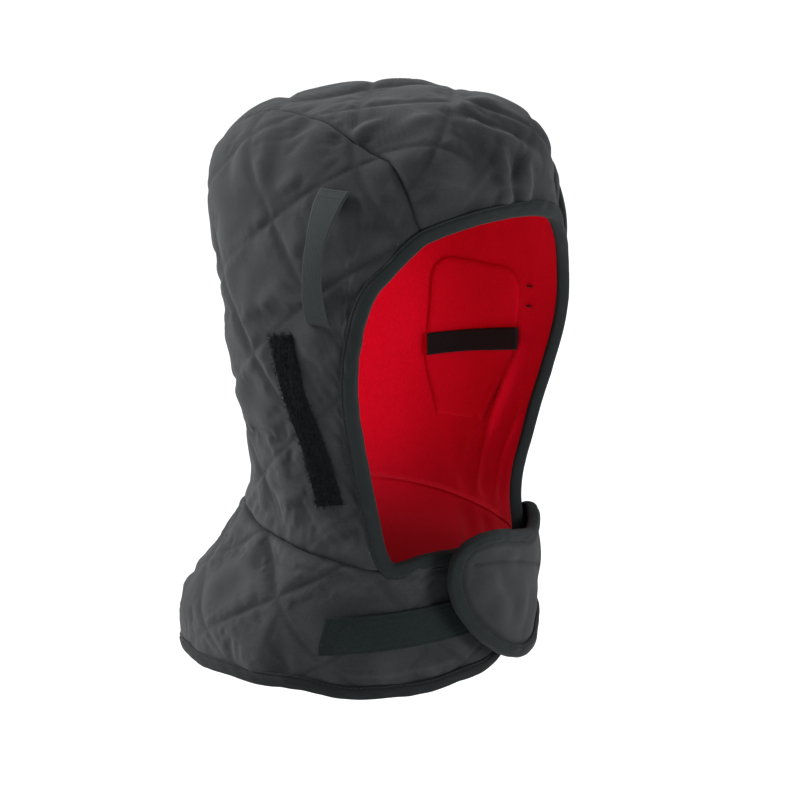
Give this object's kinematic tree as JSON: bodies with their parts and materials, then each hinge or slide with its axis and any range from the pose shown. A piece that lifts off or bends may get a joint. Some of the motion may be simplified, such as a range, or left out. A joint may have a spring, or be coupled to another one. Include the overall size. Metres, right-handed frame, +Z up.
{
  "type": "hard hat winter liner",
  "caption": "Quilted fabric hood with a short neck cape, fleece lining and chin tab, worn under a hard hat to keep head, ears and neck warm.",
  "frame": {"origin": "the inside of the crown at its top, where the liner sits on the head", "axes": "+Z up, -Y the way the face looks, +X towards the wearer's left"},
  "size_m": [0.2046, 0.2266, 0.338],
  "materials": {
    "shell": "charcoal twill, quilted over wadding",
    "lining": "red brushed fleece",
    "binding": "folded woven tape",
    "webbing": "woven webbing",
    "loop_tape": "hook and loop tape"
  },
  "bodies": {
    "root": {"crown_panel": "shell", "side_panel_right": "shell", "side_panel_left": "shell", "cape": "shell", "chin_tab": "shell", "hood_lining": "lining", "cape_lining": "lining", "ear_pocket_right": "lining", "ear_pocket_left": "lining", "face_binding": "binding", "hem_binding": "binding", "tab_binding": "binding", "helmet_loop_right": "webbing", "helmet_loop_left": "webbing", "mask_strip_right": "loop_tape", "mask_strip_left": "loop_tape", "chin_strip": "loop_tape", "tab_patch": "loop_tape", "pocket_strip_right": "loop_tape", "pocket_strip_left": "loop_tape"}
  },
  "joints": []
}
